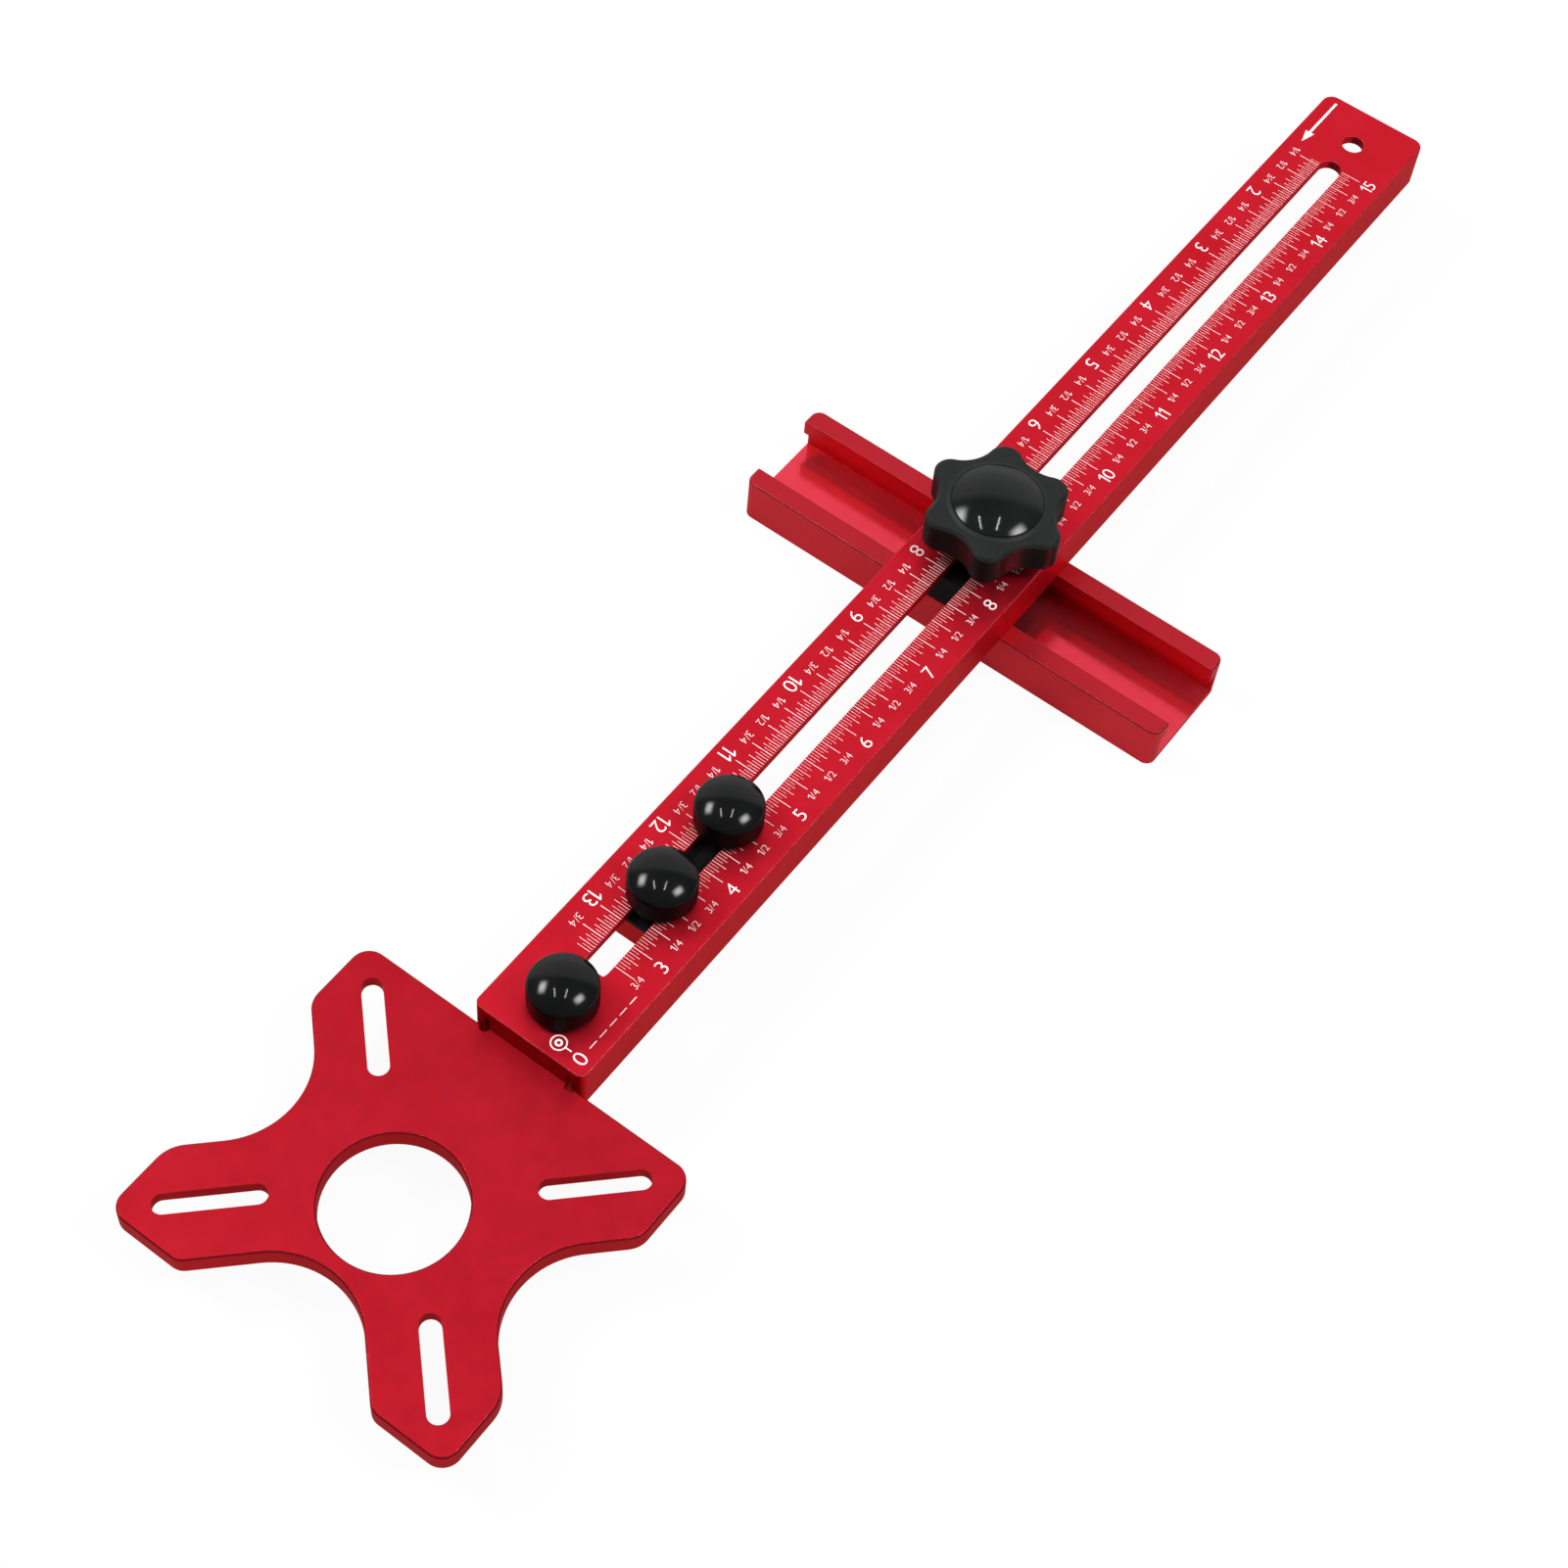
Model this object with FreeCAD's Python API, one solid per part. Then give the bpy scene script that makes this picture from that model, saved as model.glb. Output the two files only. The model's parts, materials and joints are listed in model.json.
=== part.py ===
import FreeCAD, Part
import math
import os

from FreeCAD import Vector

# Router cutting jig, in millimetres.
# The origin is the centre of the spindle hole on the underside of the base plate.
# +X runs along the ruler beam, away from the plate, and +Z points up.
# The underside of the plate and the open side of the beam lie at z = 0.
# The edge guide hangs from the spacer, which stands a little below the beam.

# Base plate
plate_thickness = 5.0
plate_front = 37.4            # from the spindle axis to the front edge
plate_back = 43.75            # from the spindle axis to the edge that meets the beam
plate_half_width = 45.25
spindle_hole_diameter = 32.0
pattern_x = 3.2               # centre of the screw slots and of the side hollows
hollow_radius = 20.0
side_hollow_depth = 14.0
front_hollow_depth = 17.7
tip_radius = 4.5
shoulder_radius_front = 8.5
shoulder_radius_back = 6.0
shoulder_radius_end = 4.0
plate_edge_break = 0.4

# Slots for the router's screws, at 45 degrees along the four arms
screw_slot_width = 4.8
screw_slot_travel = 19.35     # between the centres of the slot's round ends
screw_slot_inset = 8.25       # from the sides of the plate to the centre of the outer round end
screw_recess_width = 8.4      # the wider slot below, for the heads of the screws
screw_recess_depth = 1.7

# Tongue of the base plate, which fills the end of the beam
tongue_length = 23.45
tongue_relief_radius = 1.3

# Ruler beam, a channel that is open underneath
beam_length = 360.0
beam_width = 30.0
beam_height = 12.0
beam_web = 2.5
beam_flange = 3.0
beam_near_radius = 2.0
beam_far_radius = 3.0
beam_edge_break = 0.2
beam_slot_width = 6.2
beam_slot_near = 20.75        # from the near end of the beam to the slot
beam_slot_far = 21.8          # from the slot to the far end of the beam
base_hole_inset = 12.0        # from the near end of the beam
base_hole_diameter = 5.7
far_hole_inset = 12.7         # from the far end of the beam
far_hole_diameter = 6.0

# Pivot block, held under the slot by two knobs
pivot_x = 102.4
pivot_length = 40.4
pivot_block_height = 8.0
pivot_stud_pitch = 24.2
pivot_edge_break = 0.6
pin_diameter = 5.0
pin_reach = 7.0               # how far the tip stands below the beam
pin_shank_diameter = 6.0
pin_shank_length = 6.0
pin_collar_diameter = 9.0
pin_collar_height = 1.2
pin_tip_taper = 1.2

# Edge guide, a channel with two lips that hangs across the beam
guide_x = 218.8
guide_y = 0.7                 # how far its middle stands to the left of the beam's
guide_length = 121.4
guide_width = 30.3
guide_height = 12.8
guide_wall = 3.0
guide_floor = 2.0
guide_lip_height = 4.5
guide_mouth = 19.6
guide_corner_radius = 2.5
guide_edge_break = 0.4

# Spacer and slider that carry the guide
spacer_length = 30.0
spacer_stand = 0.15           # how far it stands below the beam, to keep the guide off the beam
spacer_corner_radius = 1.5
slider_length = 18.0
slider_neck_gap = 0.3         # below the top of the lips, so that the knob can clamp
slider_edge_break = 0.5

# Guide bolt
bolt_diameter = 6.0
bolt_head_width = 10.0        # across the flats
bolt_head_height = 4.0
bolt_length = 30.0            # under the head
bolt_tip_taper = 0.6

# Star knob
star_tip_radius = 18.0
star_hollow_radius = 14.3
star_lobes = 6
star_lobe_radius = 4.2
star_turn = 26.1              # degrees, from +X to the first lobe
star_hub_diameter = 20.0
star_hub_height = 4.4
star_lobe_height = 8.3
star_edge_break = 0.8
star_rim_diameter = 22.8
star_rim_rise = 0.4
star_cap_diameter = 22.2
star_cap_rise = 3.2
star_cap_plug_diameter = 15.0
star_cap_plug_depth = 1.6
insert_diameter = 9.0
insert_height = 10.5

# Small knobs
knob_diameter = 16.0
knob_skirt_height = 6.9
knob_dome_rise = 3.0
knob_foot_diameter = 14.4
knob_foot_height = 0.8
knob_rim_radius = 1.6
stud_diameter = 5.0
stud_in_knob = 6.0
stud_tip_taper = 0.5
stud_tip_clearance = 1.0      # from the tip to the underside of what it screws into

# Washers
small_washer_diameter = 12.0
small_washer_height = 1.0
guide_washer_diameter = 14.0
guide_washer_height = 1.2

# Clearances
slide_clearance = 0.2         # each side, between a sliding piece and its channel
flange_clearance = 0.3        # each side, between the slider's flange and the guide
floor_clearance = 0.4         # between the slider and the floor of the guide
thread_clearance = 0.05       # radial
press_clearance = 0.02        # radial
bolt_hole_clearance = 0.2     # radial
head_pocket_clearance = 0.1   # each side and above the head

# Places that follow from the sizes above
beam_start = plate_back
beam_end = beam_start + beam_length
channel_width = beam_width - 2 * beam_flange
channel_top = beam_height - beam_web
insert_piece_width = channel_width - 2 * slide_clearance
base_knob_x = beam_start + base_hole_inset
far_hole_x = beam_end - far_hole_inset
hollow_setback = hollow_radius * (math.sqrt(2) - 1)
side_reach = side_hollow_depth + hollow_setback
front_reach = front_hollow_depth + hollow_setback
stud_radius = stud_diameter / 2 - thread_clearance
bolt_radius = bolt_diameter / 2 - thread_clearance
small_knob_base = beam_height + small_washer_height
star_knob_base = beam_height + guide_washer_height
star_lobe_base = star_knob_base + star_hub_height
star_lobe_top = star_lobe_base + star_lobe_height
star_rim_top = star_lobe_top + star_rim_rise
guide_top = -spacer_stand
guide_bottom = guide_top - guide_height
lip_bottom = guide_top - guide_lip_height
slider_top = guide_top - slider_neck_gap
slider_bottom = guide_bottom + guide_floor + floor_clearance
bolt_head_bottom = slider_bottom + head_pocket_clearance
bolt_head_top = bolt_head_bottom + bolt_head_height
bolt_top = bolt_head_top + bolt_length


def rounded_outline(corners, z):
    """Closed wire through corners given as (x, y, radius), with a tangent arc at each rounded one."""
    points = [Vector(x, y, z) for x, y, _ in corners]
    arcs = []
    for i, (_, _, radius) in enumerate(corners):
        corner = points[i]
        to_last = (points[i - 1] - corner).normalize()
        to_next = (points[(i + 1) % len(points)] - corner).normalize()
        half_angle = to_last.getAngle(to_next) / 2
        cut = radius / math.tan(half_angle)
        middle = (to_last + to_next).normalize() * (radius / math.sin(half_angle) - radius)
        arcs.append((corner + to_last * cut, corner + middle, corner + to_next * cut))
    edges = []
    for i, (start, middle, end) in enumerate(arcs):
        last_end = arcs[i - 1][2]
        if (start - last_end).Length > 1e-6:
            edges.append(Part.LineSegment(last_end, start).toShape())
        if (end - start).Length > 1e-6:
            edges.append(Part.Arc(start, middle, end).toShape())
    return Part.Wire(Part.__sortEdges__(edges))


def prism(outline, height):
    """Solid that stands on an outline."""
    return Part.Face(outline).extrude(Vector(0, 0, height))


def rounded_block(x0, x1, y0, y1, z0, z1, radius_start, radius_end):
    """Upright block with rounded corners at its low-X and high-X ends."""
    corners = [
        (x0, y0, radius_start),
        (x1, y0, radius_end),
        (x1, y1, radius_end),
        (x0, y1, radius_start),
    ]
    return prism(rounded_outline(corners, z0), z1 - z0)


def box(x0, x1, y0, y1, z0, z1):
    """Plain block between two corners."""
    return Part.makeBox(x1 - x0, y1 - y0, z1 - z0, Vector(x0, y0, z0))


def cylinder(radius, z0, z1, x=0.0, y=0.0):
    """Upright cylinder."""
    return Part.makeCylinder(radius, z1 - z0, Vector(x, y, z0))


def slot_cutter(start, end, width, z0, z1):
    """Upright cutter with round ends, between the two points where the rounds have their centres."""
    along = (end - start).normalize()
    across = Vector(-along.y, along.x, 0) * (width / 2)
    low = Vector(0, 0, z0)
    corners = [start + across + low, start - across + low, end - across + low, end + across + low]
    edges = [
        Part.Arc(corners[0], start - along * (width / 2) + low, corners[1]).toShape(),
        Part.LineSegment(corners[1], corners[2]).toShape(),
        Part.Arc(corners[2], end + along * (width / 2) + low, corners[3]).toShape(),
        Part.LineSegment(corners[3], corners[0]).toShape(),
    ]
    return prism(Part.Wire(edges), z1 - z0)


def turned(profile, x=0.0):
    """Solid of revolution about the upright axis at x, from edges in the XZ plane."""
    face = Part.Face(Part.Wire(Part.__sortEdges__(profile)))
    solid = face.revolve(Vector(0, 0, 0), Vector(0, 0, 1), 360)
    solid.translate(Vector(x, 0, 0))
    return solid


def turned_polygon(points, x=0.0):
    """Solid of revolution from (radius, z) corners joined by straight lines."""
    ring = [Vector(r, 0, z) for r, z in points]
    edges = [Part.LineSegment(a, b).toShape() for a, b in zip(ring, ring[1:] + ring[:1])]
    return turned(edges, x)


def dome_section(edge_radius, z, rise, rim=0.0):
    """Half section of a spherical dome from its edge to its top, with a rounded rim if one is given.

    Returns the point where it starts and its edges.
    """
    sphere_radius = (edge_radius**2 + rise**2) / (2 * rise)
    centre = Vector(0, 0, z + rise - sphere_radius)
    start_angle = math.acos((edge_radius - rim) / (sphere_radius - rim))

    def around(middle, distance, angle):
        return middle + Vector(distance * math.cos(angle), 0, distance * math.sin(angle))

    start = around(centre, sphere_radius, start_angle)
    halfway = around(centre, sphere_radius, (start_angle + math.pi / 2) / 2)
    edges = [Part.Arc(start, halfway, Vector(0, 0, z + rise)).toShape()]
    if rim > 0:
        rim_centre = around(centre, sphere_radius - rim, start_angle)
        skirt_end = around(rim_centre, rim, 0)
        edges.append(Part.Arc(skirt_end, around(rim_centre, rim, start_angle / 2), start).toShape())
        start = skirt_end
    return start, edges


def edges_at(shape, z):
    """Edges that lie wholly at one height."""
    found = []
    for edge in shape.Edges:
        bounds = edge.BoundBox
        if abs(bounds.ZMin - z) < 1e-5 and abs(bounds.ZMax - z) < 1e-5:
            found.append(edge)
    return found


def plate_outline():
    """Four arms: a rectangle with a round-bottomed hollow in its front and in each side."""
    width = plate_half_width
    upper = [
        (plate_back, width, tip_radius),
        (pattern_x + side_reach, width, shoulder_radius_back),
        (pattern_x, width - side_reach, hollow_radius),
        (pattern_x - side_reach, width, shoulder_radius_front),
        (-plate_front, width, tip_radius),
        (-plate_front, front_reach, shoulder_radius_end),
    ]
    front = [(-plate_front + front_reach, 0.0, hollow_radius)]
    lower = [(x, -y, radius) for x, y, radius in reversed(upper)]
    return rounded_outline(upper + front + lower, 0.0)


def screw_slot(inner, outer):
    """Cutter for one slot, wider below for the heads of the screws."""
    recess = slot_cutter(inner, outer, screw_recess_width, -1, screw_recess_depth)
    return recess.fuse(slot_cutter(inner, outer, screw_slot_width, -1, plate_thickness + 1))


def screw_slots():
    """The four slots for the router's screws, each along the middle of a front arm or its mirror image."""
    travel = screw_slot_travel / math.sqrt(2)
    outer_y = plate_half_width - screw_slot_inset
    side_edge_offset = plate_half_width - side_reach
    front_edge_offset = front_reach - plate_front - pattern_x
    outer_x = outer_y - (side_edge_offset + front_edge_offset) / 2
    cutters = []
    for side_x in (-1, 1):
        for side_y in (-1, 1):
            outer = Vector(pattern_x + side_x * outer_x, side_y * outer_y, 0)
            inner = outer - Vector(side_x * travel, side_y * travel, 0)
            cutters.append(screw_slot(inner, outer))
    return cutters


def base_plate():
    """Plate for the router, with the tongue that the beam is clamped to."""
    plate = prism(plate_outline(), plate_thickness)
    plate = plate.cut(cylinder(spindle_hole_diameter / 2, -1, plate_thickness + 1))
    plate = plate.makeChamfer(plate_edge_break, edges_at(plate, plate_thickness))
    plate = plate.cut(screw_slots())
    half = insert_piece_width / 2
    tongue_end = plate_back + tongue_length
    root = plate_back - tongue_relief_radius - plate_edge_break
    tongue = box(plate_back, tongue_end, -half, half, 0, channel_top)
    tongue = tongue.fuse(box(root, plate_back, -half, half, 0, plate_thickness))
    plate = plate.fuse(tongue)
    reliefs = [
        cylinder(tongue_relief_radius, -1, channel_top + 1, plate_back, side * half) for side in (-1, 1)
    ]
    thread = cylinder(stud_diameter / 2, -1, channel_top + 1, base_knob_x)
    return plate.cut(reliefs + [thread]).removeSplitter()


def ruler_beam():
    """Channel with a long slot in its web and a round hole near each end."""
    half = beam_width / 2
    beam = rounded_block(
        beam_start, beam_end, -half, half, 0, beam_height, beam_near_radius, beam_far_radius
    )
    beam = beam.makeChamfer(beam_edge_break, edges_at(beam, beam_height))
    channel = box(
        beam_start - 1, beam_end + 1, -channel_width / 2, channel_width / 2, -1, channel_top
    )
    slot_radius = beam_slot_width / 2
    slot = slot_cutter(
        Vector(beam_start + beam_slot_near + slot_radius, 0, 0),
        Vector(beam_end - beam_slot_far - slot_radius, 0, 0),
        beam_slot_width,
        0,
        beam_height + 1,
    )
    base_hole = cylinder(base_hole_diameter / 2, 0, beam_height + 1, base_knob_x)
    far_hole = cylinder(far_hole_diameter / 2, 0, beam_height + 1, far_hole_x)
    return beam.cut([channel, slot, base_hole, far_hole])


def pivot_stud_places():
    """X of the front and the rear stud of the pivot block."""
    return pivot_x - pivot_stud_pitch / 2, pivot_x + pivot_stud_pitch / 2


def pivot_layer(z0, z1):
    """One layer of the pivot block, as wide as the channel lets it slide."""
    half_length = pivot_length / 2
    half_width = insert_piece_width / 2
    return box(pivot_x - half_length, pivot_x + half_length, -half_width, half_width, z0, z1)


def pivot_block():
    """Sliding block with two threads for the knobs and a seat for the pin."""
    block = pivot_layer(0, pivot_block_height)
    block = block.makeChamfer(pivot_edge_break, edges_at(block, 0))
    cutters = [cylinder(stud_diameter / 2, -1, pivot_block_height + 1, x) for x in pivot_stud_places()]
    shank_radius = pin_shank_diameter / 2 + press_clearance
    cutters.append(cylinder(shank_radius, -1, pin_collar_height + pin_shank_length, pivot_x))
    cutters.append(cylinder(pin_collar_diameter / 2 + press_clearance, -1, pin_collar_height, pivot_x))
    return block.cut(cutters)


def pivot_pad():
    """Thin pad between the block and the web of the beam."""
    pad = pivot_layer(pivot_block_height, channel_top)
    hole_radius = stud_diameter / 2 + bolt_hole_clearance
    return pad.cut(
        [cylinder(hole_radius, pivot_block_height - 1, channel_top + 1, x) for x in pivot_stud_places()]
    )


def pivot_pin():
    """Turned pin with a collar, pressed into the block from below."""
    shank = pin_shank_diameter / 2
    tip = pin_diameter / 2
    return turned_polygon(
        [
            (0, pin_collar_height + pin_shank_length),
            (shank, pin_collar_height + pin_shank_length),
            (shank, pin_collar_height),
            (pin_collar_diameter / 2, pin_collar_height),
            (pin_collar_diameter / 2, 0),
            (tip, 0),
            (tip, -pin_reach + pin_tip_taper),
            (tip - pin_tip_taper, -pin_reach),
            (0, -pin_reach),
        ],
        pivot_x,
    )


def edge_guide():
    """Guide rail: an open channel whose lips hold the slider."""
    half_width = guide_width / 2
    half_length = guide_length / 2
    rail = rounded_block(
        guide_x - half_width,
        guide_x + half_width,
        guide_y - half_length,
        guide_y + half_length,
        guide_bottom,
        guide_top,
        guide_corner_radius,
        guide_corner_radius,
    )
    outer_edges = edges_at(rail, guide_top) + edges_at(rail, guide_bottom)
    rail = rail.makeChamfer(guide_edge_break, outer_edges)
    inner = half_width - guide_wall
    low = guide_y - half_length - 1
    high = guide_y + half_length + 1
    cavity = box(guide_x - inner, guide_x + inner, low, high, guide_bottom + guide_floor, lip_bottom)
    mouth = box(guide_x - guide_mouth / 2, guide_x + guide_mouth / 2, low, high, lip_bottom - 1, 1)
    return rail.cut([cavity, mouth])


def guide_spacer():
    """Block in the beam's channel that keeps the guide square to the beam."""
    half_length = spacer_length / 2
    half_width = insert_piece_width / 2
    spacer = rounded_block(
        guide_x - half_length,
        guide_x + half_length,
        -half_width,
        half_width,
        guide_top,
        channel_top,
        spacer_corner_radius,
        spacer_corner_radius,
    )
    hole = cylinder(bolt_diameter / 2 + bolt_hole_clearance, guide_top - 1, channel_top + 1, guide_x)
    return spacer.cut(hole)


def hexagon(width, z, x):
    """Hexagon with the given width across its flats, with two flats square to X."""
    corner_radius = width / math.sqrt(3)
    ring = []
    for i in range(7):
        angle = math.radians(30 + 60 * i)
        ring.append(Vector(x + corner_radius * math.cos(angle), corner_radius * math.sin(angle), z))
    return Part.makePolygon(ring)


def guide_slider():
    """T-shaped slider in the guide's channel, with a pocket for the head of the bolt."""
    flange_half = guide_width / 2 - guide_wall - flange_clearance
    neck_half = guide_mouth / 2 - slide_clearance
    half_length = slider_length / 2
    flange = box(
        guide_x - flange_half,
        guide_x + flange_half,
        -half_length,
        half_length,
        slider_bottom,
        lip_bottom,
    )
    flange = flange.makeChamfer(slider_edge_break, edges_at(flange, slider_bottom))
    neck = box(
        guide_x - neck_half, guide_x + neck_half, -half_length, half_length, lip_bottom, slider_top
    )
    pocket_width = bolt_head_width + 2 * head_pocket_clearance
    pocket_height = bolt_head_top - slider_bottom + 1
    pocket = prism(hexagon(pocket_width, slider_bottom - 1, guide_x), pocket_height)
    hole = cylinder(bolt_diameter / 2 + bolt_hole_clearance, slider_bottom - 1, slider_top + 1, guide_x)
    return flange.fuse(neck).cut([pocket, hole]).removeSplitter()


def threaded_rod(radius, z_tip, z_root, taper, x):
    """Plain rod on the upright axis at x, tapered at its tip."""
    inward = taper if z_tip < z_root else -taper
    return turned_polygon(
        [
            (0, z_tip),
            (radius - taper, z_tip),
            (radius, z_tip + inward),
            (radius, z_root),
            (0, z_root),
        ],
        x,
    )


def guide_bolt():
    """Hexagon bolt that stands up through the slider, the spacer, the slot and the star knob."""
    head = prism(hexagon(bolt_head_width, bolt_head_bottom, guide_x), bolt_head_height)
    shank = threaded_rod(bolt_radius, bolt_top, bolt_head_top, bolt_tip_taper, guide_x)
    return head.fuse(shank).removeSplitter()


def ring(inner, outer, z0, z1, x):
    """Plain ring on the upright axis at x."""
    return turned_polygon([(inner, z0), (outer, z0), (outer, z1), (inner, z1)], x)


def washer(diameter, height, thread_diameter, x):
    """Flat washer on top of the beam."""
    hole_radius = thread_diameter / 2 + bolt_hole_clearance
    return ring(hole_radius, diameter / 2, beam_height, beam_height + height, x)


def star_outline(z):
    """Six lobes and six hollows, each one arc, tangent where they meet."""
    half_step = math.pi / star_lobes
    lobe_centre = star_tip_radius - star_lobe_radius
    reach = lobe_centre * math.cos(half_step)
    gap = lobe_centre**2 + star_hollow_radius**2 - 2 * star_hollow_radius * reach - star_lobe_radius**2
    hollow_arc = gap / (2 * (star_lobe_radius - star_hollow_radius + reach))
    hollow_centre = star_hollow_radius + hollow_arc

    def polar(radius, angle):
        return Vector(guide_x + radius * math.cos(angle), radius * math.sin(angle), z)

    def joint_point(lobe_angle, hollow_angle):
        lobe = polar(lobe_centre, lobe_angle)
        hollow = polar(hollow_centre, hollow_angle)
        return lobe + (hollow - lobe).normalize() * star_lobe_radius

    edges = []
    for i in range(star_lobes):
        lobe_angle = math.radians(star_turn) + 2 * half_step * i
        before = joint_point(lobe_angle, lobe_angle - half_step)
        after = joint_point(lobe_angle, lobe_angle + half_step)
        next_start = joint_point(lobe_angle + 2 * half_step, lobe_angle + half_step)
        edges.append(Part.Arc(before, polar(star_tip_radius, lobe_angle), after).toShape())
        edges.append(
            Part.Arc(after, polar(star_hollow_radius, lobe_angle + half_step), next_start).toShape()
        )
    return Part.Wire(edges)


def star_knob():
    """Six-lobed knob with a hub below, a raised rim on top and a seat for its cap."""
    lobes = prism(star_outline(star_lobe_base), star_lobe_height)
    lobes = lobes.makeChamfer(star_edge_break, edges_at(lobes, star_lobe_top))
    hub = cylinder(star_hub_diameter / 2, star_knob_base, star_lobe_base, guide_x)
    rim_radius = star_rim_diameter / 2
    rim = Part.makeCone(
        rim_radius + 2 * star_rim_rise, rim_radius, star_rim_rise, Vector(guide_x, 0, star_lobe_top)
    )
    seat = cylinder(star_cap_plug_diameter / 2, star_rim_top - star_cap_plug_depth, star_rim_top + 1, guide_x)
    bore = cylinder(
        insert_diameter / 2 + press_clearance, star_knob_base - 1, star_knob_base + insert_height, guide_x
    )
    return lobes.fuse([hub, rim]).removeSplitter().cut([seat, bore])


def star_knob_insert():
    """Threaded bush in the star knob."""
    low = star_knob_base
    return ring(bolt_diameter / 2, insert_diameter / 2, low, low + insert_height, guide_x)


def star_knob_cap():
    """Domed cap pushed into the top of the star knob."""
    plug = star_cap_plug_diameter / 2 - press_clearance
    edge = star_cap_diameter / 2
    bottom = star_rim_top - star_cap_plug_depth
    dome_start, dome = dome_section(edge, star_rim_top, star_cap_rise)
    corners = [(0, star_rim_top + star_cap_rise), (0, bottom), (plug, bottom), (plug, star_rim_top)]
    points = [Vector(r, 0, z) for r, z in corners] + [dome_start]
    profile = [Part.LineSegment(a, b).toShape() for a, b in zip(points, points[1:])]
    return turned(profile + dome, guide_x)


def small_knob(x):
    """Round knob: a short foot, a straight skirt and a domed top, with a blind hole for its stud."""
    base = small_knob_base
    radius = knob_diameter / 2
    skirt_top = base + knob_skirt_height
    bore = stud_radius + press_clearance
    bore_top = base + stud_in_knob
    dome_start, dome = dome_section(radius, skirt_top, knob_dome_rise, knob_rim_radius)
    corners = [
        (0, skirt_top + knob_dome_rise),
        (0, bore_top),
        (bore, bore_top),
        (bore, base),
        (knob_foot_diameter / 2, base),
        (radius, base + knob_foot_height),
    ]
    points = [Vector(r, 0, z) for r, z in corners] + [dome_start]
    profile = [Part.LineSegment(a, b).toShape() for a, b in zip(points, points[1:])]
    return turned(profile + dome, x)


def small_stud(x):
    """Threaded stud moulded into a small knob and screwed into the block or the tongue."""
    return threaded_rod(stud_radius, stud_tip_clearance, small_knob_base + stud_in_knob, stud_tip_taper, x)


def clamp_set(name, x):
    """One small knob with its stud and its washer."""
    washer_under_knob = washer(small_washer_diameter, small_washer_height, stud_diameter, x)
    return {name: small_knob(x), name + "_stud": small_stud(x), name + "_washer": washer_under_knob}


def build():
    """Every piece by name."""
    pieces = {
        "base_plate": base_plate(),
        "ruler_beam": ruler_beam(),
        "pivot_block": pivot_block(),
        "pivot_pad": pivot_pad(),
        "pivot_pin": pivot_pin(),
        "edge_guide": edge_guide(),
        "guide_spacer": guide_spacer(),
        "guide_slider": guide_slider(),
        "guide_bolt": guide_bolt(),
        "guide_washer": washer(guide_washer_diameter, guide_washer_height, bolt_diameter, guide_x),
        "star_knob": star_knob(),
        "star_knob_insert": star_knob_insert(),
        "star_knob_cap": star_knob_cap(),
    }
    front, rear = pivot_stud_places()
    pieces.update(clamp_set("base_knob", base_knob_x))
    pieces.update(clamp_set("pivot_knob_front", front))
    pieces.update(clamp_set("pivot_knob_rear", rear))
    return pieces


os.makedirs("parts", exist_ok=True)
for node, shape in build().items():
    solids = shape.Solids
    print(node, "solids", len(solids), "valid", shape.isValid(), "volume", round(shape.Volume, 1))
    solids[0].exportStep("parts/" + node + ".step")
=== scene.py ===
"""Looks of the router cutting jig: printed scales, finishes, light and camera."""

import json
import math

import bmesh
import bpy
from mathutils import Matrix, Vector


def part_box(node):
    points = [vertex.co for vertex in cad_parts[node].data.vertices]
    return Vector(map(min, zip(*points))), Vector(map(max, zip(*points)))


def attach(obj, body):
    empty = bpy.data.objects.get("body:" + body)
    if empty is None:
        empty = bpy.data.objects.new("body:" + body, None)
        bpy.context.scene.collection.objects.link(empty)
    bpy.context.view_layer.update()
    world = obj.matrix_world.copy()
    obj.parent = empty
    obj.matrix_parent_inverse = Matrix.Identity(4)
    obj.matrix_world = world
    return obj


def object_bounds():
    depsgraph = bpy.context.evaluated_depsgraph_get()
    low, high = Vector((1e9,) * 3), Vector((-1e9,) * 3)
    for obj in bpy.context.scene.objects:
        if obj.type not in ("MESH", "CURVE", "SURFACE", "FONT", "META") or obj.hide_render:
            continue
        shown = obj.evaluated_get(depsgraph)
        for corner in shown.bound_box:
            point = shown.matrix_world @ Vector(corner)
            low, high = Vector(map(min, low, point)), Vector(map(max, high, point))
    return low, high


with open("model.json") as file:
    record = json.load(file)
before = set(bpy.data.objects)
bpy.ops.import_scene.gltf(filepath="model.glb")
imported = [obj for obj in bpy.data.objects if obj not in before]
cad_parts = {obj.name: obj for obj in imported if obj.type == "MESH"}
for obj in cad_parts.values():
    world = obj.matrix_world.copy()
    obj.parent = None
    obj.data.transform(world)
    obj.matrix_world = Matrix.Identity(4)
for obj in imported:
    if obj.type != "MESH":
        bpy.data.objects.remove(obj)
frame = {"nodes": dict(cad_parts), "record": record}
nodes = frame["nodes"]
cad_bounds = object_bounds()

MM = 0.001

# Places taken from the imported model
BEAM_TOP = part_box("ruler_beam")[1].z
GUIDE_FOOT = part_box("edge_guide")[0].z
CHANNEL_FLOOR = (GUIDE_FOOT + 1.0 * MM, GUIDE_FOOT + 4.0 * MM)   # two heights, the floor lies between
mounts = {mount["name"]: mount for mount in frame["record"]["mounts"]}
PLATE_TOP = mounts["router_seat"]["pos_m"][2]

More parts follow.
